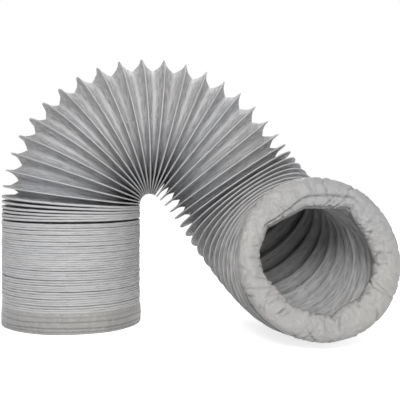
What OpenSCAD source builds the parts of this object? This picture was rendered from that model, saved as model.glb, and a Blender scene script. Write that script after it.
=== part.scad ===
// Flexible air duct: a pleated sleeve of coated fabric on one helical spring wire.
// It stands on its foot cuff as a closed stack, arches over, drops and turns to
// the front, where its mouth rests on the floor with the plain end cuff tucked in.

/* [Duct] */
// Bore of the two end cuffs, the size of the pipe spigot that they slip over
duct_bore = 150; // [130:1:170]
// Thickness of the coated fabric
fabric_t = 0.3; // [0.25:0.05:0.4]
// Diameter of the spring wire that is laminated into each crest
wire_d = 0.8; // [0.6:0.05:1]
// Fabric length of one pleat panel, from the crest down to the valley fold
panel_len = 18; // [16:0.5:20]
// Gap between two crests where the duct is squeezed shut
squeeze_gap = 0.05; // [0.05:0.05:0.3]
// Room beside the wire where it climbs from one crest of the stack to the next
climb_room = 0.1; // [0.05:0.05:0.3]

/* [Upright stack] */
// Length of the plain cuff at the foot
foot_cuff_len = 22; // [15:1:30]
// Height of the doubled hem round each cuff
hem_len = 6; // [4:1:8]
// Closed turns that stand on the foot cuff
foot_turns = 8; // [5:1:10]
// Closed turns at the top of the stack
shoulder_turns = 6; // [3:1:8]

/* [Arch] */
// Turn at which the arch bends most, counted from the top of the stack
crown_at = 11.6; // [10:0.1:13]
// Bend between two turns at the crown, in degrees
crown_bend = 9.15; // [8:0.05:9.5]
// Turns before the crown over which the bend would build up from nothing
bend_rise = 17; // [15:0.5:20]
// Turns after the crown over which the bend dies away
bend_fall = 9; // [8:0.5:11]
// Extra tilt of the first turn as it leaves the stack, in degrees
first_tilt = 9.5; // [4:0.5:10]
// Angle by which the arch leans back, in degrees
arch_lean = 8.5; // [0:0.5:12]
// Turns over which the lean builds up
lean_turns = 5; // [4:1:7]

/* [Drop and mouth] */
// Turn at which the duct begins to turn to the front
side_at = 17.1; // [16:0.1:20]
// Turns over which that bend builds up
side_ease = 7.6; // [4:0.1:9]
// Bend to the front between two turns, in degrees
side_bend = 7.2; // [6:0.1:8]
// Turn from which the duct also lifts its mouth
lift_at = 27; // [24:0.5:30]
// Turns over which that lift builds up
lift_ease = 4; // [2:0.5:6]
// Lift between two turns once it has built up, in degrees
lift_bend = 1.3; // [0:0.1:2]
// Slack between the turns in the middle of the drop
drop_slack = 7.7; // [3:0.1:9]
// Turn at which that slack is largest
slack_at = 18.5; // [16:0.1:20]
// Turns over which the slack builds up and dies away
slack_spread = 4.2; // [3:0.1:7]
// Slack between the turns that is left near the mouth
mouth_slack = 2.4; // [1:0.1:4]
// Outer radius of the rolled lip over the crests
lip_rise = 4.9; // [2:0.1:7]
// Radial width of the rolled lip, from its outside to the throat
lip_w = 23.5; // [20:0.5:26]
// Length of the rolled lip along the duct
lip_len = 19; // [15:0.5:24]
// Height at which the far end clears the floor
floor_gap = 0.2; // [0.1:0.1:0.5]

/* [Hidden] */
// Turns in each stretch of the bent duct
rise_turns = 9;
crown_turns = 3;
fall_turns = 6;
elbow_turns = 3;
bend_turns = 10;
neck_turns = 3;
rise_from = 1;
crown_from = rise_from + rise_turns;
fall_from = crown_from + crown_turns;
elbow_from = fall_from + fall_turns;
bend_from = elbow_from + elbow_turns;
neck_from = bend_from + bend_turns;
bent_turns = neck_from + neck_turns - 1;
// Sides of the bent sleeve, and the longest lap at which its two plies join
sides = 24;
lap_max = 4;
// Steps along the rolled lip's outline, and the angle at which it leaves its last panel
lip_steps = 18;
lip_start = -60;
// Slot between the tucked edge of the mouth cuff and the last valley fold
tuck_gap = 1;
// Clearance between one section of the sleeve and the next
seam_gap = 0.02;
// Height of the bead over a joint of the wire, and how far each arc stops short of it
bead_rise = 0.02;
bead_inset = 0.05;
// Facets of the round profiles
$fn = 96;
bead_fn = 24;
// Flats round the wire in the stack, which keep that long tube light
wire_sides = 8;

// Sizes of a crest: its width, its radius, and that of the wire's centre line
crest_w = wire_d + 2 * fabric_t;
crest_r = duct_bore / 2 + wire_d + fabric_t;
wire_r = crest_r - fabric_t - wire_d / 2;
wire_lap = wire_d + 2 * fabric_t;
closed_pitch = crest_w + squeeze_gap;
// The bent sleeve's corners lie outside the crest radius, so that its sides touch it
corner_scale = 1 / cos(180 / sides);
corner_r = crest_r * corner_scale;
lip_r = crest_r + lip_rise;
throat_r = lip_r - lip_w;

// --- Route of the bent duct ---
// Frames run valley, crest, valley and so on. Each is [centre, direction, outward],
// and the third axis of a frame, cross(direction, outward), starts towards the front.
function turned(p, k, a) = p * cos(a) + cross(k, p) * sin(a) + k * (k * p) * (1 - cos(a));
function swell(x) = abs(x) < 1 ? (1 + cos(180 * x)) / 2 : 0;
function eased(x) = let (c = max(0, min(1, x))) c * c * (3 - 2 * c);
function spread(i) = i < crown_at ? bend_rise : bend_fall;
// Bend towards the hub of the arch, and bend to the front, for the step at turn i
function hub_bend(i) = crown_bend * max(0, 1 - pow((i - crown_at) / spread(i), 2))
    + (i < 1 ? first_tilt : 0) - lift_bend * eased((i - lift_at) / lift_ease);
function front_bend(i) = side_bend * eased((i - side_at) / side_ease)
    - (i < lean_turns ? arch_lean / lean_turns : 0);
function slack(i) = drop_slack * swell((i - slack_at) / slack_spread)
    + mouth_slack * eased((i - slack_at) / slack_spread);
function turn_at(h) = floor(h / 2) + 0.5;
// The frame h, half a turn further along the route than the frame f before it
function half_step(f, h) = let (
        i = turn_at(h),
        w = -cross(f[1], f[2]) * hub_bend(i) - f[2] * front_bend(i),
        k = norm(w) > 0 ? w / norm(w) : f[2],
        a = norm(w) / 2,
        s = (closed_pitch + slack(i)) / 2 + corner_r * a * PI / 180
    ) [f[0] + s * turned(f[1], k, a / 2), turned(f[1], k, a), turned(f[2], k, a)];
top_frame = [[0, 0, 0], [0, 0, 1], [-1, 0, 0]];
route = [for (h = 0, f = top_frame; h <= 2 * bent_turns; h = h + 1, f = half_step(f, h)) f];

// The stack is as high as the far end hangs below its top, where that rests on the floor
lip_at = lip_len / 2;
function ring_low(f, r, s) = f[0].z + s * f[1].z - r * sqrt(1 - pow(f[1].z, 2));
lip_low = ring_low(route[2 * bent_turns], lip_r, lip_at);
crest_low = min([for (k = [1:bent_turns]) ring_low(route[2 * k - 1], corner_r, 0)]);
stack_top = floor_gap - min(lip_low, crest_low);
frames = [for (f = route) [f[0] + [0, 0, stack_top], f[1], f[2]]];
mouth = frames[2 * bent_turns];

// Turns of the stack, as many as fit with room for the wire to climb
stack_room = stack_top - foot_cuff_len - crest_w / 2;
stack_turns = floor(stack_room / (crest_w + wire_d + 2 * climb_room) + 0.5);
stack_pitch = stack_room / (stack_turns - 0.5);
stack_gap = stack_pitch - crest_w;
column_turns = stack_turns - foot_turns - shoulder_turns;
fold_r = crest_r - sqrt(pow(panel_len, 2) - pow(stack_gap / 2, 2));
// Height of the valley fold above turn k of the stack
function fold_z(k) = foot_cuff_len + k * stack_pitch - stack_gap / 2;

// --- Stack: flat crests round the wire, and two plies down to each fold ---
function turn_outside(z) = [
    [crest_r, z + stack_gap / 2],
    [crest_r, z + stack_gap / 2 + crest_w],
    [fold_r, z + stack_pitch]
];
function turn_inside(z) = [
    [fold_r - fabric_t, z + stack_pitch - fabric_t],
    [crest_r - fabric_t, z + stack_gap / 2 + crest_w - fabric_t],
    [crest_r - fabric_t, z + stack_gap / 2 + fabric_t],
    [fold_r - fabric_t, z + fabric_t]
];
// The first turn of all has no lower ply: a short lap closes its crest
first_outside = [[crest_r - wire_lap, stack_gap / 2], each [for (p = turn_outside(0)) p]];
first_inside = [
    turn_inside(0)[0], turn_inside(0)[1], turn_inside(0)[2],
    [crest_r - wire_lap, stack_gap / 2 + fabric_t]
];
module stack_sleeve(from, count) {
    starts = from == 1;
    outside = [for (j = [0:count - 1])
        each j == 0 && starts ? first_outside : turn_outside(j * stack_pitch)];
    inside = [for (j = [count - 1:-1:0])
        each j == 0 && starts ? first_inside : turn_inside(j * stack_pitch)];
    ends = [[fold_r - fabric_t, count * stack_pitch]];
    lower = starts ? [] : [[fold_r - fabric_t, seam_gap], [fold_r, seam_gap]];
    translate([0, 0, fold_z(from - 1)])
        rotate_extrude()
            polygon(concat(outside, ends, inside, lower));
}

// --- Bent sleeve: rings of points from valley to crest to valley ---
function ring_point(f, r, q) = f[0] + r * (cos(q) * f[2] + sin(q) * cross(f[1], f[2]));
function corner(j) = (j + 0.5) * 360 / sides;
// Open gap between the crests on both sides of valley h, at angle q
function gap_at(h, q) = h == 0 || h == 2 * bent_turns ? stack_gap :
    norm(ring_point(frames[h + 1], crest_r, q) - ring_point(frames[h - 1], crest_r, q)) - crest_w;
function valley_r(h, q) = crest_r - sqrt(max(0, pow(panel_len, 2) - pow(gap_at(h, q) / 2, 2)));
// Radial depth of the wall at a valley, which keeps the ply's own thickness on a slant
function valley_lap(h, q) = min(lap_max, fabric_t * panel_len / max(gap_at(h, q) / 2, fabric_t / 2));
function valley_ring(h, deep, shift = 0) = [for (j = [0:sides - 1]) let (q = corner(j))
    shift * frames[h][1]
    + ring_point(frames[h], corner_scale * (valley_r(h, q) - deep * valley_lap(h, q)), q)];
function crest_ring(h, r, shift) = [for (j = [0:sides - 1])
    ring_point(frames[h], r * corner_scale, corner(j)) + shift * frames[h][1]];
module bent_sleeve(from, count) {
    outer = [for (k = [from:from + count - 1]) each [
        if (k == from) valley_ring(2 * k - 2, 0, seam_gap),
        crest_ring(2 * k - 1, crest_r, -crest_w / 2),
        crest_ring(2 * k - 1, crest_r, crest_w / 2),
        valley_ring(2 * k, 0)
    ]];
    inner = [for (k = [from + count - 1:-1:from]) each [
        if (k == from + count - 1) valley_ring(2 * k, 1),
        crest_ring(2 * k - 1, crest_r - wire_lap, 0),
        valley_ring(2 * k - 2, 1, k == from ? seam_gap : 0)
    ]];
    rings = concat(outer, inner);
    rows = len(rings);
    polyhedron(
        points = [for (r = rings) each r],
        faces = [for (m = [0:rows - 1], j = [0:sides - 1]) let (
                n = (m + 1) % rows,
                i = (j + 1) % sides,
                a = m * sides + j,
                b = m * sides + i,
                c = n * sides + i,
                d = n * sides + j
            ) each [[a, c, b], [a, d, c]]]
    );
}

// --- Wire: arcs that meet end to end on a common tangent ---
// Crest frames of the whole duct, from the foot to the mouth
crests = concat(
    [for (k = [1:stack_turns]) [[0, 0, fold_z(k) - stack_gap / 2 - crest_w / 2], [0, 0, 1], [-1, 0, 0]]],
    [for (k = [1:bent_turns]) frames[2 * k - 1]]
);
folds = concat(
    [for (k = [1:stack_turns]) [[0, 0, fold_z(k)], [0, 0, 1], [-1, 0, 0]]],
    [for (k = [1:bent_turns]) frames[2 * k]]
);
all_turns = stack_turns + bent_turns;
// Angle round a crest at which the next turn lies closest
hubs = [for (k = [0:all_turns]) k < stack_turns ? 180 :
    let (i = k - stack_turns + 0.5) 180 - atan2(front_bend(i), hub_bend(i))];
wire_section = [for (i = [0:wire_sides - 1])
    wire_d / 2 * [cos((i + 0.5) * 360 / wire_sides), sin((i + 0.5) * 360 / wire_sides)]];
function travel(f, q) = sin(q) * f[2] - cos(q) * cross(f[1], f[2]);
module arc(centre, start, along, r, from, to, flat) {
    up = cross(start, along);
    multmatrix([
        [start.x, along.x, up.x, centre.x],
        [start.y, along.y, up.y, centre.y],
        [start.z, along.z, up.z, centre.z],
        [0, 0, 0, 1]
    ])
        rotate([0, 0, from])
            rotate_extrude(angle = to - from)
                translate([r, 0])
                    if (flat) polygon(wire_section);
                    else circle(d = wire_d, $fn = bead_fn);
}
// Bead over a joint of two arcs, whose ends stop just short of its centre
module bead(p) {
    translate(p)
        sphere(d = wire_d + 2 * bead_rise, $fn = bead_fn);
}
function short(r) = bead_inset / r * 180 / PI;
// Half a turn in the plane of crest k, from where the wire arrives to the far side
module level_arc(k, flat) {
    f = crests[k - 1];
    q = hubs[k - 1];
    cut = short(wire_r);
    start = cos(q) * f[2] + sin(q) * cross(f[1], f[2]);
    arc(f[0], start, travel(f, q), wire_r, cut, 180 + q - hubs[k] - cut, flat);
}
// Ends of the climb from crest k to the next, and the angle at which it crosses the fold
function climb_from(k) = ring_point(crests[k - 1], wire_r, hubs[k] - 180);
function climb_to(k) = ring_point(crests[k], wire_r, hubs[k]);
function climb_cross(k) = let (
        m = (climb_from(k) + climb_to(k)) / 2,
        n = folds[k - 1][1]
    ) acos(-n * (m - folds[k - 1][0]) / (n * (climb_from(k) - m)));
module climb_arc(k, from, to, flat) {
    m = (climb_from(k) + climb_to(k)) / 2;
    r = norm(climb_from(k) - m);
    start = (climb_from(k) - m) / r;
    cut = short(r);
    along = travel(crests[k - 1], hubs[k] - 180);
    arc(m, start, along, r, from == 0 ? cut : from, to == 180 ? 180 - cut : to, flat);
}
// The wire in the turns from one fold to another, as one unbroken tube
module wire(from, count) {
    to = from + count - 1;
    flat = from <= stack_turns;
    if (from > 1) climb_arc(from - 1, climb_cross(from - 1), 180, flat);
    for (k = [from:to]) {
        if (k > 1) bead(climb_to(k - 1));
        level_arc(k, flat);
        if (k < all_turns) bead(climb_from(k));
        if (k < to) climb_arc(k, 0, 180, flat);
        else if (k < all_turns) climb_arc(k, 0, climb_cross(k), flat);
    }
}
// Least gap of the wire to its next turn, measured on points round every turn
function wire_point(k, j) = let (q = j * 360 / sides) q <= 180 ?
    ring_point(crests[k - 1], wire_r, hubs[k] - 180 + q) :
    let (m = (climb_from(k) + climb_to(k)) / 2, s = climb_from(k) - m)
    m + cos(q - 180) * s + sin(q - 180) * norm(s) * travel(crests[k - 1], hubs[k] - 180);
wire_gap = min([for (k = [1:all_turns - 2], j = [0:sides - 1], d = [-1:1])
    norm(wire_point(k, j) - wire_point(k + 1, (j + d + sides) % sides))]) - wire_d;
echo(stack_turns = stack_turns, stack_pitch = stack_pitch, wire_gap = wire_gap);

// --- Sub-parts ---
module foot_cuff() {
    color([0.68, 0.68, 0.67])
        rotate_extrude()
            polygon([
                [duct_bore / 2, 0],
                [duct_bore / 2 + 2 * fabric_t, 0],
                [duct_bore / 2 + 2 * fabric_t, hem_len],
                [duct_bore / 2 + fabric_t, hem_len],
                [duct_bore / 2 + fabric_t, foot_cuff_len],
                [duct_bore / 2, foot_cuff_len]
            ]);
}
module foot_sleeve() color([0.71, 0.7, 0.69]) stack_sleeve(1, foot_turns);
module foot_wire() color([0.5, 0.5, 0.52]) wire(1, foot_turns);
module column_sleeve() color([0.7, 0.69, 0.68]) stack_sleeve(foot_turns + 1, column_turns);
module column_wire() color([0.5, 0.5, 0.52]) wire(foot_turns + 1, column_turns);
module shoulder_sleeve()
    color([0.71, 0.7, 0.69])
        stack_sleeve(foot_turns + column_turns + 1, shoulder_turns);
module shoulder_wire()
    color([0.5, 0.5, 0.52])
        wire(foot_turns + column_turns + 1, shoulder_turns);
module rise_sleeve() color([0.6, 0.6, 0.62]) bent_sleeve(rise_from, rise_turns);
module rise_wire() color([0.5, 0.5, 0.52]) wire(stack_turns + rise_from, rise_turns);
module crown_sleeve() color([0.66, 0.66, 0.68]) bent_sleeve(crown_from, crown_turns);
module crown_wire() color([0.5, 0.5, 0.52]) wire(stack_turns + crown_from, crown_turns);
module fall_sleeve() color([0.62, 0.62, 0.64]) bent_sleeve(fall_from, fall_turns);
module fall_wire() color([0.5, 0.5, 0.52]) wire(stack_turns + fall_from, fall_turns);
module elbow_sleeve() color([0.66, 0.66, 0.68]) bent_sleeve(elbow_from, elbow_turns);
module elbow_wire() color([0.5, 0.5, 0.52]) wire(stack_turns + elbow_from, elbow_turns);
module bend_sleeve() color([0.7, 0.7, 0.71]) bent_sleeve(bend_from, bend_turns);
module bend_wire() color([0.5, 0.5, 0.52]) wire(stack_turns + bend_from, bend_turns);
module neck_sleeve() color([0.73, 0.73, 0.74]) bent_sleeve(neck_from, neck_turns);
module neck_wire() color([0.5, 0.5, 0.52]) wire(stack_turns + neck_from, neck_turns);
// The end cuff rolls over a soft lip and tucks back into the bore
function lip_edge(a, inset) = [
    lip_r - lip_w / 2 + (lip_w / 2 - inset) * cos(a),
    lip_at + (lip_at - inset) * sin(a)
];
function lip_curve(inset) = [for (k = [0:lip_steps])
    lip_edge(lip_start + k * (180 - lip_start) / lip_steps, inset)];
module mouth_cuff() {
    hem_r = throat_r + 2 * fabric_t;
    up = cross(mouth[1], mouth[2]);
    outline = concat(
        [[fold_r, seam_gap]],
        lip_curve(0),
        [[throat_r, tuck_gap], [hem_r, tuck_gap], [hem_r, tuck_gap + hem_len]],
        [for (k = [lip_steps:-1:0]) lip_curve(fabric_t)[k]],
        [[fold_r + fabric_t, fabric_t], [fold_r - fabric_t, fabric_t], [fold_r - fabric_t, seam_gap]]
    );
    color([0.76, 0.75, 0.75])
        multmatrix([
            [mouth[2].x, up.x, mouth[1].x, mouth[0].x],
            [mouth[2].y, up.y, mouth[1].y, mouth[0].y],
            [mouth[2].z, up.z, mouth[1].z, mouth[0].z],
            [0, 0, 0, 1]
        ])
            rotate_extrude()
                polygon(outline);
}

foot_cuff();
foot_sleeve();
foot_wire();
column_sleeve();
column_wire();
shoulder_sleeve();
shoulder_wire();
rise_sleeve();
rise_wire();
crown_sleeve();
crown_wire();
fall_sleeve();
fall_wire();
elbow_sleeve();
elbow_wire();
bend_sleeve();
bend_wire();
neck_sleeve();
neck_wire();
mouth_cuff();
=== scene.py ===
import math
import random
import bpy
from mathutils import Matrix, Quaternion, Vector
from mathutils import noise


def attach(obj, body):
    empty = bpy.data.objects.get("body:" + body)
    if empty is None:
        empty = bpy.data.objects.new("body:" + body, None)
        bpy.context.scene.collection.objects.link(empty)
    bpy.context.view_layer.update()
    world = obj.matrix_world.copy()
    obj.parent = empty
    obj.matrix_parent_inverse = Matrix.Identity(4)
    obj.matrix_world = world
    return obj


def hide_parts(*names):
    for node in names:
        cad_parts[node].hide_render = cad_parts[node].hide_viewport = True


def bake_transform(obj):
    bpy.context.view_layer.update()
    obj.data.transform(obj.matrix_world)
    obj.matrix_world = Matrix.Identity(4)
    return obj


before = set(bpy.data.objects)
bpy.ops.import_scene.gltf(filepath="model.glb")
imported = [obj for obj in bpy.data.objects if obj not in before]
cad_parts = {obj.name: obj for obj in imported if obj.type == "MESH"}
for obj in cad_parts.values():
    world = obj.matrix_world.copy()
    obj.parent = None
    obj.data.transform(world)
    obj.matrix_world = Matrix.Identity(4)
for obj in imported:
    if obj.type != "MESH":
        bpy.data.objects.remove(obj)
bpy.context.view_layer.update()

mm = 0.001

# ---------------------------------------------------------------- route of the duct
duct = {
    "bore": 150, "fabric": 0.3, "wire": 0.8, "panel": 18, "squeeze": 0.05, "climbRoom": 0.1,
    "cuff": 22, "footTurns": 8, "shoulderTurns": 6,
    "crownAt": 11.6, "crownBend": 9.15, "bendRise": 17, "bendFall": 9, "firstTilt": 9.5,
    "lean": 8.5, "leanTurns": 5,
    "sideAt": 17.1, "sideEase": 7.6, "sideBend": 7.2, "liftAt": 27, "liftEase": 4, "liftBend": 1.3,
    "slack": 7.7, "slackAt": 18.5, "slackSpread": 4.2, "mouthSlack": 2.4,
    "lipRise": 4.9, "lipLength": 19, "floorGap": 0.2,
    "bentTurns": 34, "polygonSides": 24,
}
crestWidth = duct["wire"] + 2 * duct["fabric"]
crestRadius = duct["bore"] / 2 + duct["wire"] + duct["fabric"]
cornerRadius = crestRadius / math.cos(math.pi / duct["polygonSides"])
lipRadius = crestRadius + duct["lipRise"]


def eased(x):
    c = max(0.0, min(1.0, x))
    return c * c * (3 - 2 * c)


def hubBend(turn):
    spread = duct["bendRise"] if turn < duct["crownAt"] else duct["bendFall"]
    bend = duct["crownBend"] * max(0, 1 - ((turn - duct["crownAt"]) / spread) ** 2)
    lift = duct["liftBend"] * eased((turn - duct["liftAt"]) / duct["liftEase"])
    return bend + (duct["firstTilt"] if turn < 1 else 0) - lift


def frontBend(turn):
    back = duct["lean"] / duct["leanTurns"] if turn < duct["leanTurns"] else 0
    return duct["sideBend"] * eased((turn - duct["sideAt"]) / duct["sideEase"]) - back


def slackAt(turn):
    x = (turn - duct["slackAt"]) / duct["slackSpread"]
    swell = (1 + math.cos(math.pi * x)) / 2 if abs(x) < 1 else 0
    return duct["slack"] * swell + duct["mouthSlack"] * eased(x)


def bentRoute():
    route = [(Vector((0, 0, 0)), Vector((0, 0, 1)), Vector((-1, 0, 0)))]
    for step in range(1, 2 * duct["bentTurns"] + 1):
        centre, along, out = route[-1]
        turn = step // 2 + 0.5
        axis = -along.cross(out) * hubBend(turn) - out * frontBend(turn)
        angle = math.radians(axis.length) / 2
        length = (crestWidth + duct["squeeze"] + slackAt(turn)) / 2 + cornerRadius * angle
        half, full = Quaternion(axis, angle / 2), Quaternion(axis, angle)
        route.append((centre + length * (half @ along), full @ along, full @ out))
    return route


def lowest(ring, radius, shift):
    centre, along, out = ring
    return centre.z + shift * along.z - radius * math.sqrt(1 - along.z ** 2)


bent = bentRoute()
lipLow = lowest(bent[-1], lipRadius, duct["lipLength"] / 2)
crestLow = min(lowest(ring, cornerRadius, 0) for ring in bent[1::2])
stackTop = duct["floorGap"] - min(lipLow, crestLow)
room = stackTop - duct["cuff"] - crestWidth / 2
stackTurns = math.floor(room / (crestWidth + duct["wire"] + 2 * duct["climbRoom"]) + 0.5)
stackPitch = room / (stackTurns - 0.5)
stackGap = stackPitch - crestWidth
up, left = Vector((0, 0, 1)), Vector((-1, 0, 0))

# How the turns of the stack really lie: uneven gaps, and small shifts and tilts
stackLie = {
    "seed": 11, "uneven": 0.13, "shift": 0.35, "tilt": 0.22,
    "wideGaps": {3: 0.5, 8: 0.7, 14: 0.9, 39: 1.8, 43: 1.0}, "fanTurns": 6, "fanTilt": 4.2,
}


def stackFrames():
    random.seed(stackLie["seed"])
    shares = [1 + stackLie["uneven"] * random.uniform(-1, 1) for k in range(stackTurns + 1)]
    for k, extra in stackLie["wideGaps"].items():
        shares[k] += extra
    shares[0] = shares[-1] = 0.5
    scale = stackTurns * stackGap / sum(shares)
    route = []
    z = duct["cuff"] - stackGap / 2
    for k in range(stackTurns):
        half = shares[k] * scale / (1 if k == 0 else 2)
        loose = min(1, k / 4, (stackTurns - 1 - k) / 3)
        shift = Vector((random.uniform(-1, 1), random.uniform(-1, 1), 0)) * stackLie["shift"] * loose
        tilt = Quaternion(
            (random.uniform(-1, 1), random.uniform(-1, 1), 0.001), math.radians(stackLie["tilt"] * loose)
        )
        route.append((Vector((0, 0, z)), up.copy(), left.copy()))
        z += half + crestWidth / 2
        # The top turns fan open on the left, towards the first turn of the arch
        fan = stackLie["fanTilt"] * max(
            0, (k + 1 + stackLie["fanTurns"] - stackTurns) / stackLie["fanTurns"]
        ) ** 2
        tilt = Quaternion((0, 1, 0), math.radians(fan)) @ tilt
        shift += up * crestRadius * math.sin(math.radians(fan)) * 0.85
        route.append((Vector((0, 0, z)) + shift, tilt @ up, tilt @ left))
        z += crestWidth / 2 + shares[k + 1] * scale / (1 if k + 1 == stackTurns else 2)
    route.append((Vector((0, 0, stackTop)), up.copy(), left.copy()))
    return route


rings = stackFrames() + [(c + Vector((0, 0, stackTop)), a, o) for c, a, o in bent[1:]]
for i in range(2 * (stackTurns - stackLie["fanTurns"]), 2 * stackTurns + 1, 2):
    below, above = rings[i - 1], rings[i + 1]
    along = (below[1] + above[1]).normalized()
    out = (below[2] + above[2]) / 2
    rings[i] = ((below[0] + above[0]) / 2, along, (out - out.dot(along) * along).normalized())
mouth = rings[-1]
print("route: stack of", stackTurns, "turns,", round(stackTop, 1), "mm high")


def routeMesh():
    mesh = bpy.data.meshes.new("ductRoute")
    mesh.from_pydata([c * mm for c, a, o in rings], [], [])
    for name, pick in (("along", 1), ("outward", 2)):
        attribute = mesh.attributes.new(name, "FLOAT_VECTOR", "POINT")
        attribute.data.foreach_set("vector", [x for ring in rings for x in ring[pick]])
    return mesh


# ---------------------------------------------------------------- camera
lens = {
    "place": (0.0746, -0.8608, 0.1735), "yaw": -4.6, "pitch": 2.49, "roll": 0.39,
    "focalPixels": 762.6, "frame": 400,
}


def setCamera():
    yaw, pitch, roll = (math.radians(lens[k]) for k in ("yaw", "pitch", "roll"))
    forward = Vector((-math.sin(yaw) * math.cos(pitch), math.cos(yaw) * math.cos(pitch), -math.sin(pitch)))
    right = Vector((math.cos(yaw), math.sin(yaw), 0))
    above = right.cross(forward)
    right, above = (
        right * math.cos(roll) + above * math.sin(roll), above * math.cos(roll) - right * math.sin(roll)
    )
    data = bpy.data.cameras.new("productCamera")
    camera = bpy.data.objects.new("productCamera", data)
    data.sensor_width = 36
    data.lens = 36 * lens["focalPixels"] / lens["frame"]
    data.clip_start, data.clip_end = 0.05, 30
    camera.matrix_world = Matrix((right, above, -forward)).transposed().to_4x4()
    camera.location = lens["place"]
    bpy.context.scene.collection.objects.link(camera)
    bpy.context.scene.camera = camera


setCamera()


# ---------------------------------------------------------------- node helpers
def feed(tree, socket, value):
    if isinstance(value, bpy.types.NodeSocket):
        tree.links.new(value, socket)
    else:
        socket.default_value = value


def shown(sockets, name=None):
    return next(s for s in sockets if s.enabled and (name is None or s.name == name))


def calc(tree, operation, *values):
    node = tree.nodes.new("ShaderNodeMath")
    node.operation = operation
    for socket, value in zip(node.inputs, values):
        feed(tree, socket, value)
    return node.outputs[0]


def calcVector(tree, operation, *values):
    node = tree.nodes.new("ShaderNodeVectorMath")
    node.operation = operation
    if operation == "SCALE":
        feed(tree, node.inputs[0], values[0])
        feed(tree, node.inputs["Scale"], values[1])
    else:
        for socket, value in zip(node.inputs, values):
            feed(tree, socket, value)
    return node.outputs["Value" if operation in ("DOT_PRODUCT", "LENGTH", "DISTANCE") else "Vector"]


def blendVectors(tree, factor, a, b):
    node = tree.nodes.new("ShaderNodeMix")
    node.data_type = "VECTOR"
    feed(tree, node.inputs[0], factor)
    feed(tree, node.inputs[4], a)
    feed(tree, node.inputs[5], b)
    return node.outputs[1]


def choose(tree, kind, test, no, yes):
    node = tree.nodes.new("GeometryNodeSwitch")
    node.input_type = kind
    feed(tree, node.inputs[0], test)
    feed(tree, node.inputs[1], no)
    feed(tree, node.inputs[2], yes)
    return node.outputs[0]


# ---------------------------------------------------------------- fabrics
fabric = {
    "outside": (0.50, 0.485, 0.475), "coolOutside": (0.455, 0.465, 0.485),
    "cuffs": (0.392, 0.376, 0.357), "coolCuffs": (0.345, 0.345, 0.352),
    # ridge: painted highlight colour laid on the crest and fold edges, where light catches them
    "ridgeHighlight": (0.58, 0.57, 0.57),
    "blotchScale": 9, "blotchRange": (0.3, 0.72), "weaveHeight": 0.25,
    "streakRange": (0.3, 0.7), "streakShade": (0.55, 1.3),
    "bump": 0.6, "sleeveRelief": 0.0016, "cuffRelief": 0.0009, "specular": 0.45,
    "roughness": 0.50, "weave": 1500, "streak": 1.0, "streakScale": (5.0, 13.0, 1.0), "creaseShade": 0.36,
    "cuffRoughness": 0.42, "crumpleScale": 58, "crumpleTwist": 0.25, "crumpleHeight": 13.0,
}


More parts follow.
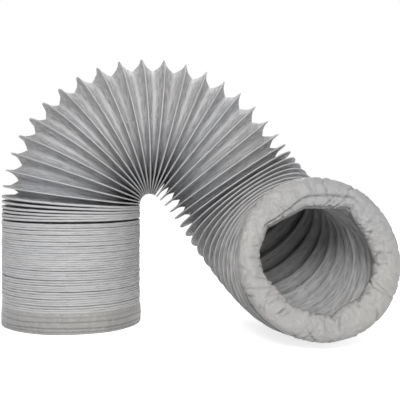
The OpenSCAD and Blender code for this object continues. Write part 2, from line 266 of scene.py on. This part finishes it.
def makeFabric(name, colour, coolColour, streaks):
    material = bpy.data.materials.new(name)
    material.use_nodes = True
    tree = material.node_tree
    shader = tree.nodes["Principled BSDF"]
    coords = tree.nodes.new("ShaderNodeTexCoord").outputs["Object"]
    blotch = tree.nodes.new("ShaderNodeTexNoise")
    feed(tree, blotch.inputs["Vector"], coords)
    blotch.inputs["Scale"].default_value = fabric["blotchScale"]
    blotch.inputs["Detail"].default_value = 4
    weave = tree.nodes.new("ShaderNodeTexNoise")
    feed(tree, weave.inputs["Vector"], coords)
    weave.inputs["Scale"].default_value = fabric["weave"]
    weave.inputs["Detail"].default_value = 1
    ramp = tree.nodes.new("ShaderNodeValToRGB")
    feed(tree, ramp.inputs[0], blotch.outputs[0])
    for stop, position, shade in zip(ramp.color_ramp.elements, fabric["blotchRange"], (coolColour, colour)):
        stop.position, stop.color = position, (*shade, 1)
    tint = ramp.outputs[0]
    height = calc(tree, "MULTIPLY", weave.outputs[0], fabric["weaveHeight"])
    if streaks:
        place = tree.nodes.new("ShaderNodeAttribute")
        place.attribute_name = "pleat"
        streak = tree.nodes.new("ShaderNodeTexNoise")
        feed(tree, streak.inputs["Vector"], calcVector(
            tree, "MULTIPLY", place.outputs["Vector"], fabric["streakScale"]))
        streak.inputs["Scale"].default_value = 1
        streak.inputs["Detail"].default_value = 3
        height = calc(tree, "ADD", height, calc(tree, "MULTIPLY", streak.outputs[0], fabric["streak"]))
        mark = tree.nodes.new("ShaderNodeMapRange")
        feed(tree, mark.inputs["Value"], streak.outputs[0])
        limits = fabric["streakRange"] + fabric["streakShade"]
        for socket, value in zip(("From Min", "From Max", "To Min", "To Max"), limits):
            mark.inputs[socket].default_value = value
        tint = calcVector(tree, "SCALE", tint, mark.outputs[0])
        # Painted highlight: the crest, fold and mid-crease edges are mixed towards a lighter colour
        highlightEdge = tree.nodes.new("ShaderNodeAttribute")
        highlightEdge.attribute_name = "ridgeHighlight"
        mixer = tree.nodes.new("ShaderNodeMix")
        mixer.data_type = "RGBA"
        feed(tree, mixer.inputs[0], highlightEdge.outputs["Fac"])
        feed(tree, mixer.inputs[6], tint)
        feed(tree, mixer.inputs[7], (*fabric["ridgeHighlight"], 1))
        tint = mixer.outputs[2]
    else:
        crumple = tree.nodes.new("ShaderNodeTexNoise")
        feed(tree, crumple.inputs["Vector"], coords)
        crumple.inputs["Scale"].default_value = fabric["crumpleScale"]
        crumple.inputs["Detail"].default_value = 4
        crumple.inputs["Distortion"].default_value = fabric["crumpleTwist"]
        fold = calc(tree, "ABSOLUTE", calc(tree, "SUBTRACT", crumple.outputs[0], 0.5))
        height = calc(tree, "ADD", height, calc(tree, "MULTIPLY", fold, fabric["crumpleHeight"]))
        # Painted shade: the cuffs darken where the crease attribute marks creases, grooves and the hem's
        # shadow
        crease = tree.nodes.new("ShaderNodeAttribute")
        crease.attribute_name = "crease"
        mixer = tree.nodes.new("ShaderNodeMix")
        mixer.data_type = "RGBA"
        feed(tree, mixer.inputs[0], crease.outputs["Fac"])
        feed(tree, mixer.inputs[6], tint)
        feed(tree, mixer.inputs[7], (*(c * fabric["creaseShade"] for c in colour), 1))
        tint = mixer.outputs[2]
    feed(tree, shader.inputs["Base Color"], tint)
    bump = tree.nodes.new("ShaderNodeBump")
    bump.inputs["Strength"].default_value = fabric["bump"]
    bump.inputs["Distance"].default_value = fabric["sleeveRelief" if streaks else "cuffRelief"]
    feed(tree, bump.inputs["Height"], height)
    feed(tree, shader.inputs["Normal"], bump.outputs[0])
    shader.inputs["Roughness"].default_value = fabric["roughness" if streaks else "cuffRoughness"]
    shader.inputs["Specular IOR Level"].default_value = fabric["specular"]
    return material


sleeveFabric = makeFabric("sleeveFabric", fabric["outside"], fabric["coolOutside"], True)
cuffFabric = makeFabric("cuffFabric", fabric["cuffs"], fabric["coolCuffs"], False)
print("fabrics made")

# ---------------------------------------------------------------- pleated sleeve
pleats = {
    "sides": 120, "steps": 16, "ridgeShare": 0.25, "columnSteps": 12, "columnRidgeShare": 1 / 3,
    "bead": 0.00075, "bulge": 0.00075, "stackBead": 0.0012, "stackBulge": 0.00055,
    "puff": -0.0024, "midCrease": 0.0016, "wrinkle": 0.0015,
    "foldScatter": 0.0016, "crestScatter": 0.0003, "thickness": 0.0003, "seed": 4.0,
}


def pleatTree():
    tree = bpy.data.node_groups.new("pleatedSleeve", "GeometryNodeTree")
    face = tree.interface
    face.new_socket("Route", in_out="INPUT", socket_type="NodeSocketGeometry")
    for name, kind in (
        ("First Turn", "Int"), ("Turns", "Int"), ("Sides", "Int"), ("Steps per Turn", "Int"),
        ("Crest Radius", "Float"), ("Bead Radius", "Float"), ("Bead Bulge", "Float"),
        ("Panel Length", "Float"), ("Ridge Share", "Float"), ("Puff", "Float"), ("Mid Crease", "Float"),
        ("Wrinkle", "Float"), ("Fold Scatter", "Float"), ("Crest Scatter", "Float"),
        ("Seed", "Float"), ("Fabric", "Material"),
    ):
        face.new_socket(name, in_out="INPUT", socket_type="NodeSocket" + kind)
    face.new_socket("Sleeve", in_out="OUTPUT", socket_type="NodeSocketGeometry")
    given = tree.nodes.new("NodeGroupInput").outputs
    result = tree.nodes.new("NodeGroupOutput")

    def m(operation, *values):
        return calc(tree, operation, *values)

    def v(operation, *values):
        return calcVector(tree, operation, *values)

    tube = tree.nodes.new("GeometryNodeMeshCylinder")
    tube.fill_type = "NONE"
    feed(tree, tube.inputs["Vertices"], given["Sides"])
    feed(tree, tube.inputs["Side Segments"], m("MULTIPLY", given["Turns"], given["Steps per Turn"]))
    feed(tree, tube.inputs["Radius"], 1.0)
    feed(tree, tube.inputs["Depth"], given["Turns"])

    spot = tree.nodes.new("ShaderNodeSeparateXYZ")
    feed(tree, spot.inputs[0], tree.nodes.new("GeometryNodeInputPosition").outputs[0])
    cosine, sine = spot.outputs[0], spot.outputs[1]
    place = m("ADD", m("ADD", spot.outputs[2], m("MULTIPLY", given["Turns"], 0.5)), 0.00001)
    turn = m("FLOOR", place)
    phase = m("SUBTRACT", place, turn)
    upper = m("GREATER_THAN", phase, 0.4999)
    side = m("SUBTRACT", m("MULTIPLY", upper, 2.0), 1.0)
    rise = m("SUBTRACT", 1.0, m("ABSOLUTE", m("SUBTRACT", m("MULTIPLY", phase, 2.0), 1.0)))
    globalTurn = m("ADD", turn, given["First Turn"])
    foldIndex = m("MULTIPLY", m("ADD", globalTurn, upper), 2.0)
    crestIndex = m("ADD", m("MULTIPLY", globalTurn, 2.0), 1.0)
    nextIndex = m("ADD", crestIndex, m("MULTIPLY", side, 2.0))

    def picked(what, index):
        node = tree.nodes.new("GeometryNodeSampleIndex")
        node.data_type, node.domain, node.clamp = "FLOAT_VECTOR", "POINT", True
        feed(tree, node.inputs["Geometry"], given["Route"])
        feed(tree, shown(node.inputs, "Value"), what)
        feed(tree, node.inputs["Index"], index)
        return shown(node.outputs)

    def routeAttribute(name):
        node = tree.nodes.new("GeometryNodeInputNamedAttribute")
        node.data_type = "FLOAT_VECTOR"
        node.inputs["Name"].default_value = name
        return shown(node.outputs)

    centreOf = tree.nodes.new("GeometryNodeInputPosition").outputs[0]

    def ringAt(index):
        centre, along, out = (
            picked(what, index) for what in (centreOf, routeAttribute("along"), routeAttribute("outward"))
        )
        front = v("CROSS_PRODUCT", along, out)
        radial = v("ADD", v("SCALE", out, cosine), v("SCALE", front, sine))
        return centre, along, radial

    def crumple(x, y, z, scale):
        node = tree.nodes.new("ShaderNodeTexNoise")
        spotAt = tree.nodes.new("ShaderNodeCombineXYZ")
        for socket, value in zip(spotAt.inputs, (x, y, z)):
            feed(tree, socket, value)
        feed(tree, node.inputs["Vector"], spotAt.outputs[0])
        node.inputs["Scale"].default_value = scale
        node.inputs["Detail"].default_value = 2
        return m("SUBTRACT", m("MULTIPLY", node.outputs[0], 2.0), 1.0)

    crestCentre, crestAlong, crestRadial = ringAt(crestIndex)
    foldCentre, _, foldRadial = ringAt(foldIndex)
    nextCentre, _, nextRadial = ringAt(nextIndex)
    seeded = m("ADD", m("MULTIPLY", globalTurn, 3.7), given["Seed"])
    foldSeed = m("ADD", m("MULTIPLY", foldIndex, 5.3), given["Seed"])
    beadAt = m("SUBTRACT", given["Crest Radius"], given["Bead Bulge"])
    stir = m("MULTIPLY", crumple(cosine, sine, seeded, 2.2), given["Crest Scatter"])
    crest = v("ADD", crestCentre, v("SCALE", crestRadial, m("ADD", beadAt, stir)))
    following = v("ADD", nextCentre, v("SCALE", nextRadial, beadAt))
    gap = m("MAXIMUM", m(
        "SUBTRACT", v("DISTANCE", crest, following), m("MULTIPLY", given["Bead Radius"], 2.0)), 0.0)
    openness = m("MINIMUM", m("DIVIDE", gap, 0.008), 1.0)
    depth = m("SQRT", m("MAXIMUM", m(
        "SUBTRACT", m("POWER", given["Panel Length"], 2.0), m("POWER", m("MULTIPLY", gap, 0.5), 2.0)), 0.0))
    depth = m("ADD", depth, m("MULTIPLY", crumple(cosine, sine, foldSeed, 3.0), given["Fold Scatter"]))
    fold = v("ADD", foldCentre, v("SCALE", foldRadial, m("SUBTRACT", given["Crest Radius"], depth)))
    brink = v("ADD", crest, v("SCALE", crestAlong, m("MULTIPLY", side, given["Bead Radius"])))

    # Ply between the fold and the crest, puffed out a little and wrinkled
    plyShare = m("MINIMUM", m("DIVIDE", rise, m("SUBTRACT", 1.0, given["Ridge Share"])), 1.0)
    ply = blendVectors(tree, plyShare, fold, brink)
    arch = m("SINE", m("MULTIPLY", plyShare, math.pi))
    plySeed = m("ADD", seeded, m("MULTIPLY", side, 1.3))
    creases = m(
        "ADD", crumple(cosine, sine, m("ADD", plySeed, m("MULTIPLY", plyShare, 0.35)), 7.0),
        m("MULTIPLY", crumple(cosine, sine, plySeed, 17.0), 0.45))
    lift = m("ADD", m("MULTIPLY", given["Puff"], side), m("MULTIPLY", creases, given["Wrinkle"]))
    middle = m("SUBTRACT", 1.0, m("ABSOLUTE", m("SUBTRACT", m("MULTIPLY", plyShare, 2.0), 1.0)))
    lift = m(
        "ADD", m("MULTIPLY", lift, arch), m("MULTIPLY", m("MULTIPLY", middle, side), given["Mid Crease"]))
    ply = v("ADD", ply, v("SCALE", crestAlong, m("MULTIPLY", lift, openness)))

    # Bead of fabric round the wire
    bow = m("MULTIPLY", m(
        "MINIMUM", m("DIVIDE", m("SUBTRACT", 1.0, rise), given["Ridge Share"]), 1.0), math.pi / 2)
    outPart = v("SCALE", crestRadial, m("MULTIPLY", given["Bead Bulge"], m("COSINE", bow)))
    sidePart = v("SCALE", crestAlong, m(
        "MULTIPLY", m("MULTIPLY", given["Bead Radius"], side), m("SINE", bow)))
    bead = v("ADD", crest, v("ADD", outPart, sidePart))
    onBead = m("GREATER_THAN", rise, m("SUBTRACT", m("SUBTRACT", 1.0, given["Ridge Share"]), 0.001))
    spotNow = choose(tree, "VECTOR", onBead, ply, bead)

    def stored(geometry, name, kind, value):
        node = tree.nodes.new("GeometryNodeStoreNamedAttribute")
        node.data_type, node.domain = kind, "POINT"
        feed(tree, node.inputs["Geometry"], geometry)
        node.inputs["Name"].default_value = name
        feed(tree, shown(node.inputs, "Value"), value)
        return node.outputs[0]

    pleatPlace = tree.nodes.new("ShaderNodeCombineXYZ")
    feed(tree, pleatPlace.inputs[0], m("ARCTAN2", sine, m("ABSOLUTE", cosine)))
    feed(tree, pleatPlace.inputs[1], plyShare)
    feed(tree, pleatPlace.inputs[2], m("ADD", plySeed, m("MULTIPLY", m("SIGN", cosine), 0.7)))
    geometry = stored(tube.outputs[0], "turnPlace", "FLOAT", m("ADD", place, given["First Turn"]))
    # Painted highlight along the crests, the folds and the mid creases, stored for the fabric
    crestHighlight = m("POWER", m("MAXIMUM", m("MULTIPLY", m("SUBTRACT", rise, 0.72), 3.5), 0.0), 1.5)
    foldHighlight = m("MAXIMUM", m("SUBTRACT", 1.0, m("MULTIPLY", plyShare, 7.0)), 0.0)
    midCreaseHighlight = m(
        "MULTIPLY", m("MAXIMUM", m("SUBTRACT", m("MULTIPLY", middle, 5.0), 4.0), 0.0),
        m("GREATER_THAN", given["Mid Crease"], 0.0))
    geometry = stored(geometry, "ridgeHighlight", "FLOAT", m(
        "MAXIMUM", crestHighlight, m("MAXIMUM", foldHighlight, m("MULTIPLY", midCreaseHighlight, 0.7))))
    geometry = stored(geometry, "pleat", "FLOAT_VECTOR", pleatPlace.outputs[0])
    mover = tree.nodes.new("GeometryNodeSetPosition")
    feed(tree, mover.inputs["Geometry"], geometry)
    feed(tree, mover.inputs["Position"], spotNow)
    smooth = tree.nodes.new("GeometryNodeSetShadeSmooth")
    feed(tree, smooth.inputs[0], mover.outputs[0])
    real = tree.nodes.new("GeometryNodeRealizeInstances")
    feed(tree, real.inputs[0], smooth.outputs[0])
    paint = tree.nodes.new("GeometryNodeSetMaterial")
    feed(tree, paint.inputs["Geometry"], real.outputs[0])
    feed(tree, paint.inputs["Material"], given["Fabric"])
    feed(tree, result.inputs[0], paint.outputs[0])
    return tree


def grown(name, mesh, tree, values):
    host = bpy.data.objects.new(name, mesh)
    bpy.context.scene.collection.objects.link(host)
    modifier = host.modifiers.new(tree.name, "NODES")
    modifier.node_group = tree
    for item in tree.interface.items_tree:
        if item.item_type == "SOCKET" and item.in_out == "INPUT" and item.name in values:
            modifier[item.identifier] = values[item.name]
    bpy.context.view_layer.update()
    graph = bpy.context.evaluated_depsgraph_get()
    result = bpy.data.meshes.new_from_object(host.evaluated_get(graph))
    host.modifiers.remove(modifier)
    host.data = result
    result.name = name
    return host


sleeveTree = pleatTree()
route = routeMesh()
bentFrom = stackTurns
footTurns, topTurns = duct["footTurns"], duct["shoulderTurns"]
# Name, first turn, number of turns, and the body or the two bodies that carry it
sections = [
    ("foot", 0, footTurns, "foot", None),
    ("column", footTurns, stackTurns - footTurns - topTurns, "foot", "shoulder"),
    ("shoulder", stackTurns - topTurns, topTurns, "shoulder", None),
    ("rise", bentFrom, 9, "shoulder", "crown"),
    ("crown", bentFrom + 9, 3, "crown", None), ("fall", bentFrom + 12, 6, "crown", "elbow"),
    ("elbow", bentFrom + 18, 3, "elbow", None), ("bend", bentFrom + 21, 10, "elbow", "mouth"),
    ("neck", bentFrom + 31, 3, "mouth", None),
]


def addThickness(piece):
    wall = piece.modifiers.new("wall", "SOLIDIFY")
    wall.thickness = pleats["thickness"]
    wall.offset = -1
    wall.use_rim = False


for name, first, turns, bodyA, bodyB in sections:
    longest = name == "column"
    sleeve = grown(name + "Pleats", route.copy(), sleeveTree, {
        "First Turn": first, "Turns": turns, "Sides": pleats["sides"],
        "Steps per Turn": pleats["columnSteps" if longest else "steps"],
        "Crest Radius": crestRadius * mm, "Bead Radius": pleats["stackBead" if first < bentFrom else "bead"],
        "Bead Bulge": pleats["stackBulge" if first < bentFrom else "bulge"],
        "Panel Length": duct["panel"] * mm,
        "Ridge Share": pleats["columnRidgeShare" if longest else "ridgeShare"], "Puff": pleats["puff"],
        "Mid Crease": pleats["midCrease"] if name in ("bend", "neck") else 0.0, "Wrinkle": pleats["wrinkle"],
        "Fold Scatter": pleats["foldScatter"], "Crest Scatter": pleats["crestScatter"],
        "Seed": pleats["seed"], "Fabric": sleeveFabric,
    })
    if bodyB:
        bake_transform(sleeve)
        # Each point's place along the duct is read back; the bend is not shared out by it
        places = [0.0] * len(sleeve.data.vertices)
        sleeve.data.attributes["turnPlace"].data.foreach_get("value", places)
    else:
        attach(sleeve, bodyA)
    addThickness(sleeve)
    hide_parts(name + "_sleeve", name + "_wire")
    print("pleats:", name, len(sleeve.data.polygons), "faces")


# ---------------------------------------------------------------- cuffs
def skin(name, rows, material, paintedShadeRows=None):
    count = len(rows[0])
    points = [p for row in rows for p in row]
    faces = []
    for i in range(len(rows) - 1):
        for j in range(count):
            k = (j + 1) % count
            faces.append((i * count + j, i * count + k, (i + 1) * count + k, (i + 1) * count + j))
    mesh = bpy.data.meshes.new(name)
    mesh.from_pydata(points, [], faces)
    mesh.polygons.foreach_set("use_smooth", [True] * len(faces))
    mesh.materials.append(material)
    # Per-point painted shade, stored as the crease attribute
    if paintedShadeRows:
        crease = mesh.attributes.new("crease", "FLOAT", "POINT")
        crease.data.foreach_set("value", [m for row in paintedShadeRows for m in row])
    piece = bpy.data.objects.new(name, mesh)
    bpy.context.scene.collection.objects.link(piece)
    return piece


# Lines round the foot cuff: height, depth and painted shade of the grooves along the hem's seams and of its
# soft folds
footCuffLook = {
    "sides": 240, "rows": 44, "wave": 0.9, "pucker": 0.45, "flare": 1.7, "wall": 0.0005,
    "radius": 75.4, "overlap": 0.6, "topFrom": 17, "topOver": 5, "lineWidth": 0.75,
    "lines": [(2.2, 0.5, 0.5), (5.8, 0.6, 0.7), (12.5, 0.7, 0.55), (17.5, 0.5, 0.35)],
}


def footCuff():
    rows, paintedShadeRows = [], []
    look = footCuffLook
    for i in range(look["rows"] + 1):
        h = (duct["cuff"] + look["overlap"]) * i / look["rows"]
        row, mark = [], []
        for j in range(look["sides"]):
            a = 2 * math.pi * j / look["sides"]
            x, y = math.cos(a), math.sin(a)
            top = eased((h - look["topFrom"]) / look["topOver"])
            wave = look["wave"] * noise.noise(Vector((2 * x, 2 * y, h * 0.05)))
            pucker = look["pucker"] * noise.noise(Vector((13 * x, 13 * y, h * 0.16)))
            line, shade = 0, 0
            for at, depth, shadeStrength in look["lines"]:
                off = (h - at - 1.1 * noise.noise(Vector((1.6 * x, 1.6 * y, at)))) / look["lineWidth"]
                line += depth * math.exp(-off * off)
                # Painted shade in the groove, darkest along its middle
                shade = max(shade, shadeStrength * math.exp(-off * off))
            mark.append(shade)
            flare = look["flare"] * (1 - top) * eased((h + 8) / 10)
            r = look["radius"] + flare + (wave + pucker) * (1 - top) - line * (1 - top) + 0.5 * top
            row.append(Vector((r * x, r * y, h)) * mm)
        rows.append(row)
        paintedShadeRows.append(mark)
    piece = skin("footCuffBand", rows, cuffFabric, paintedShadeRows)
    wall = piece.modifiers.new("wall", "SOLIDIFY")
    wall.thickness = look["wall"]
    wall.offset = -1
    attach(piece, "foot")
    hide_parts("foot_cuff")


footCuff()

# The end cuff runs on from the last crest, rolls over at the mouth and tucks into the bore.
# Angles go round from the frame's outward axis. The opening's edge runs straight from corner to corner.
mouthLook = {
    "sides": 420, "lipSteps": 44, "bandSteps": 8, "tuckSteps": 8, "lipFrom": -50, "lipAt": 13.0,
    "lipHalf": 8.2, "flatness": 0.78, "seed": 5, "creases": 190, "sag": 1.3,
    "corners": [
        (22, 58.5), (68, 50.6), (114, 57.5), (140, 59.5), (160, 58.5), (181, 52.8), (200, 55.0), (217, 53.0),
        (243, 56.8), (257, 50.5), (280, 54.0), (306, 54.0), (324, 55.3), (352, 52.0),
    ],
    "hemFrom": 14, "hemTo": 122, "hemNarrow": 3.5, "hemWide": 11.5, "hemDepth": 1.5,
    "wall": 0.0004, "lipTo": 200, "tuckRadius": 56.5, "edgeSpread": (-2.4, -1.2, 0, 1.2, 2.4),
}


def turnBetween(a, b):
    return (a - b + 180) % 360 - 180


def cornerRadiusAt(degrees):
    corners = mouthLook["corners"]
    for i, (angleB, radiusB) in enumerate(corners):
        angleA, radiusA = corners[i - 1]
        span = (angleB - angleA) % 360
        ahead = (degrees - angleA) % 360
        if ahead < span:
            a, b = math.radians(ahead), math.radians(span)
            return radiusA * radiusB * math.sin(b) / (radiusA * math.sin(a) + radiusB * math.sin(b - a))
    return corners[0][1]


def openingAt(degrees):
    spots = [cornerRadiusAt(degrees + off) for off in mouthLook["edgeSpread"]]
    return sum(spots) / len(spots)


def makeCreases():
    random.seed(mouthLook["seed"])
    creases = []
    while len(creases) < mouthLook["creases"]:
        at = random.uniform(0, 360)
        if abs(turnBetween(at, 95)) < 45 and random.random() < 0.75:
            continue
        inner = random.random() < 0.6
        place = random.uniform(95, 185) if inner else random.uniform(-35, 60)
        creases.append((
            at, place, random.uniform(18, 60), random.uniform(0.9, 2.6),
            random.uniform(0.35, 1.5), random.uniform(-0.12, 0.12),
        ))
    return creases


def creaseDepth(creases, degrees, section):
    depth = 0
    for at, place, reach, width, size, slant in creases:
        along = (section - place) / reach
        if abs(along) < 1:
            off = turnBetween(degrees, at + slant * (section - place)) / width
            if abs(off) < 4:
                depth += size * (1 - along * along) * (
                    1.5 * math.exp(-off * off * 2.2) - 0.6 * math.exp(-off * off * 0.5)
                )
    return depth


def mouthCuff():
    centre, along, out = mouth
    front = along.cross(out)
    lastCrest = rings[-2]
    crestFront = lastCrest[1].cross(lastCrest[2])
    creases = makeCreases()
    look = mouthLook
    sections = [
        look["lipFrom"] + i * (look["lipTo"] - look["lipFrom"]) / look["lipSteps"]
        for i in range(look["lipSteps"] + 1)
    ]
    rows = [[] for i in range(look["bandSteps"] + len(sections) + look["tuckSteps"])]
    paintedShadeRows = [[] for row in rows]
    for j in range(look["sides"]):
        degrees = 360 * j / look["sides"]
        a = math.radians(degrees)
        c, d = math.cos(a), math.sin(a)
        radial = c * out + d * front
        inner = openingAt(degrees)
        middle, half = (lipRadius + inner) / 2, (lipRadius - inner) / 2
        wave = noise.noise(Vector((2.3 * c, 2.3 * d, 4)))

        def lipPoint(section):
            angle = math.radians(section)
            x, y = math.cos(angle), math.sin(angle)
            # A soft roll: flatter on its face than an ellipse
            flat = look["flatness"]
            x, y = math.copysign(abs(x) ** flat, x), math.copysign(abs(y) ** flat, y)
            crease = (
                creaseDepth(creases, degrees, section)
                * eased((section + 50) / 25) * (1 - eased((section - 178) / 20))
            )
            # Painted shade in the deeper creases
            sink, paintedShade = crease, max(0.0, crease - 0.25) * 0.5
            sink += (
                0.5 * noise.noise(Vector((9 * c, 9 * d, section * 0.03)))
                + 0.9 * wave * eased((section - 20) / 60)
            )
            hem = eased(min(degrees - look["hemFrom"], look["hemTo"] - degrees) / 9)
            if hem > 0:
                width = look["hemWide"] + (look["hemNarrow"] - look["hemWide"]) * eased((degrees - 45) / 60)
                fromEdge = middle + half * x - inner
                lineOff = (fromEdge - width) / 0.9
                sink += hem * look["hemDepth"] * (
                    0.9 * math.exp(-lineOff * lineOff) + 0.9 * eased(-lineOff / 2 + 0.5) * (y > 0)
                )
                # Painted shadow along the hem's line, under the fold of the roll above it
                paintedShade += hem * math.exp(-lineOff * lineOff) * (y > 0)
            r = middle + (half - sink) * x
            s = look["lipAt"] + (look["lipHalf"] - sink) * y
            return centre + r * radial + s * along, min(1.0, paintedShade)

        start = lastCrest[0] + (crestRadius - 0.35) * (c * lastCrest[2] + d * crestFront)
        end = lipPoint(sections[0])[0]
        lift = (end - centre).dot(radial) - (start - centre).dot(radial)
        column, paintedShadeColumn = [], [0.0] * look["bandSteps"]
        for i in range(look["bandSteps"]):
            share = i / look["bandSteps"]
            slump = 1 + 0.6 * noise.noise(Vector((5 * c, 5 * d, share)))
            sag = look["sag"] * math.sin(math.pi * share) * slump
            column.append(start.lerp(end, share) + radial * (0.25 * lift * share * (1 - share) - sag))
        for section in sections:
            point, shade = lipPoint(section)
            column.append(point)
            paintedShadeColumn.append(shade)
        last = column[-1]
        depthNow = (last - centre).dot(along)
        for i in range(1, look["tuckSteps"] + 1):
            share = i / look["tuckSteps"]
            ripple = 1.1 * noise.noise(Vector((7 * c, 7 * d, share * 2))) * share
            target = min(look["tuckRadius"], inner + 2.5 + 1.5 * share)
            radius = (last - centre).dot(radial) * (1 - share) + target * share
            inward = depthNow * (1 - share) + 0.5 * share
            column.append(centre + (radius + ripple) * radial + inward * along)
        paintedShadeColumn += [0.0] * look["tuckSteps"]
        for row, point, mark, shade in zip(rows, column, paintedShadeRows, paintedShadeColumn):
            row.append(point * mm)
            mark.append(shade)
    piece = skin("mouthCuffRoll", rows, cuffFabric, paintedShadeRows)
    wall = piece.modifiers.new("wall", "SOLIDIFY")
    wall.thickness = look["wall"]
    wall.offset = -1
    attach(piece, "mouth")
    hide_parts("mouth_cuff")


mouthCuff()
print("cuffs made")

# ---------------------------------------------------------------- stage
# Lamps: place, aim, size and power
studio = {
    "world": 0.34, "worldColour": (0.96, 0.98, 1), "floorColour": 0.86, "floorGlow": 0.72, "floorHalf": 6,
    "lamps": {
        "keyLamp": ((-0.06, -1.5, 0.98), (0.15, 0, 0.12), 0.6, 16),
        "fillLamp": ((0.75, -1.5, 0.5), (0.22, 0, 0.1), 1.0, 4),
        "rimLamp": ((0.3, 1.2, 1.4), (0.12, 0, 0.15), 1.0, 9),
    },
}


def seenRay(tree):
    rays = tree.nodes.new("ShaderNodeLightPath").outputs
    direct = calc(tree, "MAXIMUM", rays["Is Camera Ray"], rays["Is Glossy Ray"])
    return calc(tree, "MAXIMUM", direct, rays["Is Transmission Ray"])


def setWorld():
    world = bpy.data.worlds.new("studio")
    bpy.context.scene.world = world
    world.use_nodes = True
    tree = world.node_tree
    tree.nodes.clear()
    plain, seen = tree.nodes.new("ShaderNodeBackground"), tree.nodes.new("ShaderNodeBackground")
    plain.inputs["Strength"].default_value = studio["world"]
    plain.inputs["Color"].default_value = (*studio["worldColour"], 1)
    seen.inputs["Strength"].default_value = 1
    seen.inputs["Color"].default_value = (1, 1, 1, 1)
    mixer = tree.nodes.new("ShaderNodeMixShader")
    feed(tree, mixer.inputs[0], seenRay(tree))
    feed(tree, mixer.inputs[1], plain.outputs[0])
    feed(tree, mixer.inputs[2], seen.outputs[0])
    output = tree.nodes.new("ShaderNodeOutputWorld")
    feed(tree, output.inputs[0], mixer.outputs[0])


def addFloor():
    mesh = bpy.data.meshes.new("studioFloor")
    h = studio["floorHalf"]
    mesh.from_pydata([(-h, -h, 0), (h, -h, 0), (h, h, 0), (-h, h, 0)], [], [(0, 1, 2, 3)])
    floor = bpy.data.objects.new("studioFloor", mesh)
    bpy.context.scene.collection.objects.link(floor)
    material = bpy.data.materials.new("studioWhite")
    material.use_nodes = True
    tree = material.node_tree
    shader = tree.nodes["Principled BSDF"]
    shader.inputs["Base Color"].default_value = (studio["floorColour"],) * 3 + (1,)
    shader.inputs["Roughness"].default_value = 1
    shader.inputs["Specular IOR Level"].default_value = 0
    glow = tree.nodes.new("ShaderNodeEmission")
    feed(tree, glow.inputs["Strength"], calc(tree, "MULTIPLY", seenRay(tree), studio["floorGlow"]))
    both = tree.nodes.new("ShaderNodeAddShader")
    feed(tree, both.inputs[0], shader.outputs[0])
    feed(tree, both.inputs[1], glow.outputs[0])
    feed(tree, tree.nodes["Material Output"].inputs[0], both.outputs[0])
    mesh.materials.append(material)


def addLamp(name, place, aim, size, power):
    data = bpy.data.lights.new(name, "AREA")
    data.shape, data.size, data.energy = "DISK", size, power
    lamp = bpy.data.objects.new(name, data)
    lamp.location = place
    lamp.rotation_euler = (Vector(aim) - Vector(place)).to_track_quat("-Z", "Y").to_euler()
    bpy.context.scene.collection.objects.link(lamp)


setWorld()
addFloor()
for name, settings in studio["lamps"].items():
    addLamp(name, *settings)
bpy.context.scene.view_settings.view_transform = "Standard"
print("studio set")
